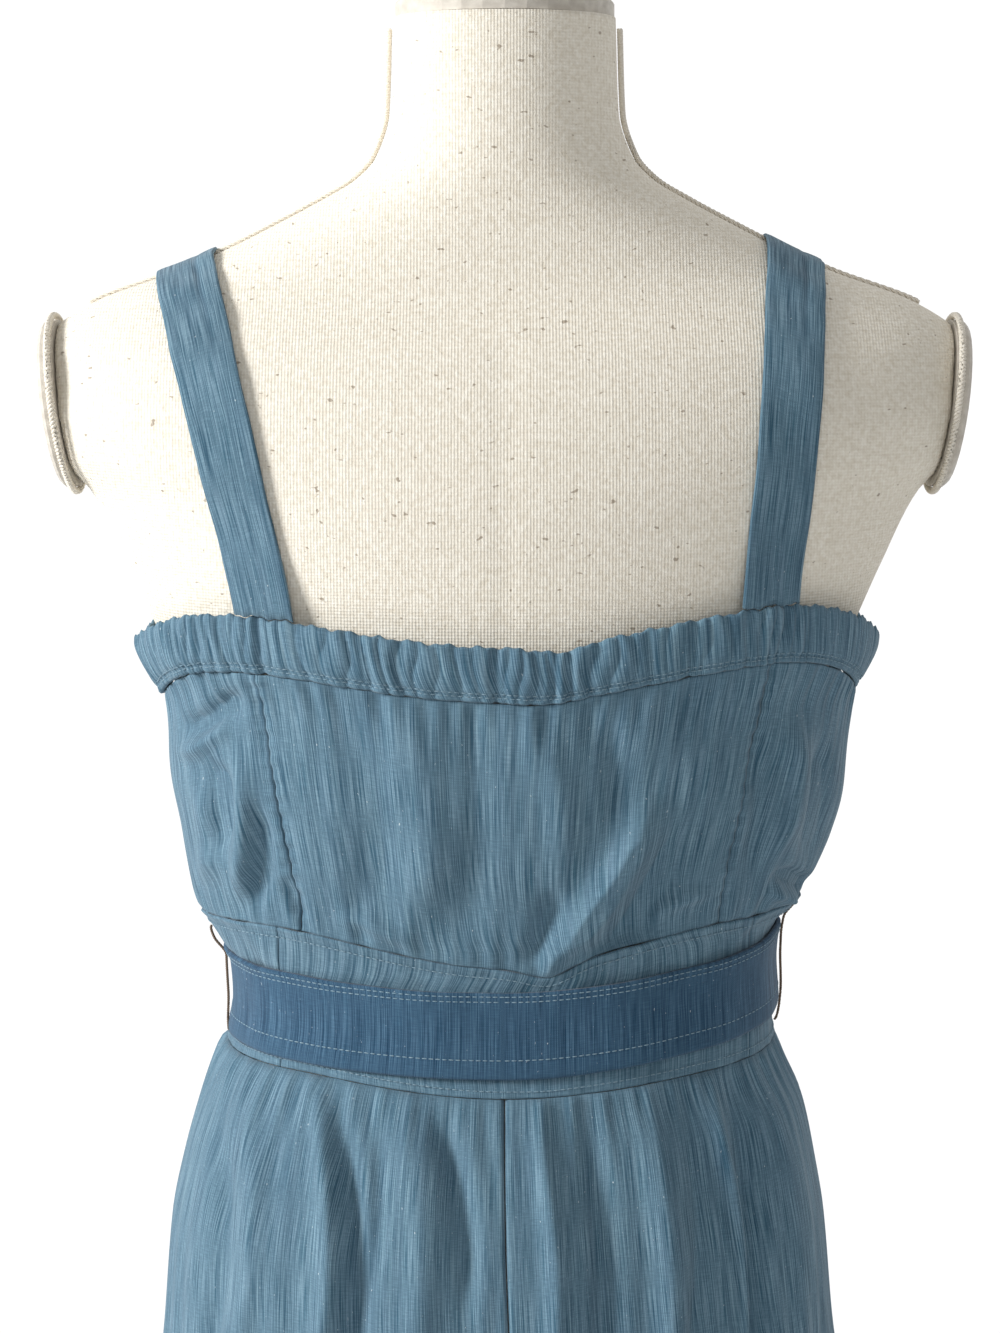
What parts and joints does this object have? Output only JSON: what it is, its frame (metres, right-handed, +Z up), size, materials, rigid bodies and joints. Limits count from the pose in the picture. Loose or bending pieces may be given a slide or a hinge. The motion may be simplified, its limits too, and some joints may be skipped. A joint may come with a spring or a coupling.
{
  "type": "wide-leg jumpsuit on a limbless dress form",
  "caption": "Sleeveless wide-leg denim jumpsuit with straps, a ruched top band and a self belt, on a canvas dress form and pole stand.",
  "frame": {"origin": "middle of the underside of the stand's base, on the floor", "axes": "+Z up; +Y the way the garment faces; +X towards the wearer's right"},
  "size_m": [0.44, 0.34, 1.4893],
  "materials": {
    "denim": "slub chambray denim, matt",
    "belt_denim": "slub denim, darker, matt",
    "canvas": "coarse natural canvas, matt",
    "braid": "cotton gimp braid, matt",
    "thread": "twisted thread",
    "plate": "painted, satin",
    "metal": "brushed"
  },
  "bodies": {
    "root": {"bodice_back_centre": "denim", "bodice_back_side_l": "denim", "bodice_back_side_r": "denim", "bodice_front": "denim", "band_back": "denim", "band_front": "denim", "strap_l": "denim", "strap_r": "denim", "waistband_back": "denim", "waistband_front": "denim", "trouser_back_l": "denim", "trouser_back_r": "denim", "trouser_front_r": "denim", "trouser_front_l": "denim", "belt": "belt_denim", "belt_knot": "belt_denim", "belt_tail_l": "belt_denim", "belt_tail_r": "belt_denim", "belt_loop_l": "thread", "belt_loop_r": "thread", "form_body": "canvas", "neck_cap": "plate", "arm_plate_l": "plate", "arm_plate_r": "plate", "arm_trim_l": "braid", "arm_trim_r": "braid", "shoulder_trim_l": "braid", "shoulder_trim_r": "braid", "stand_pole": "metal", "stand_base": "metal"}
  },
  "joints": []
}
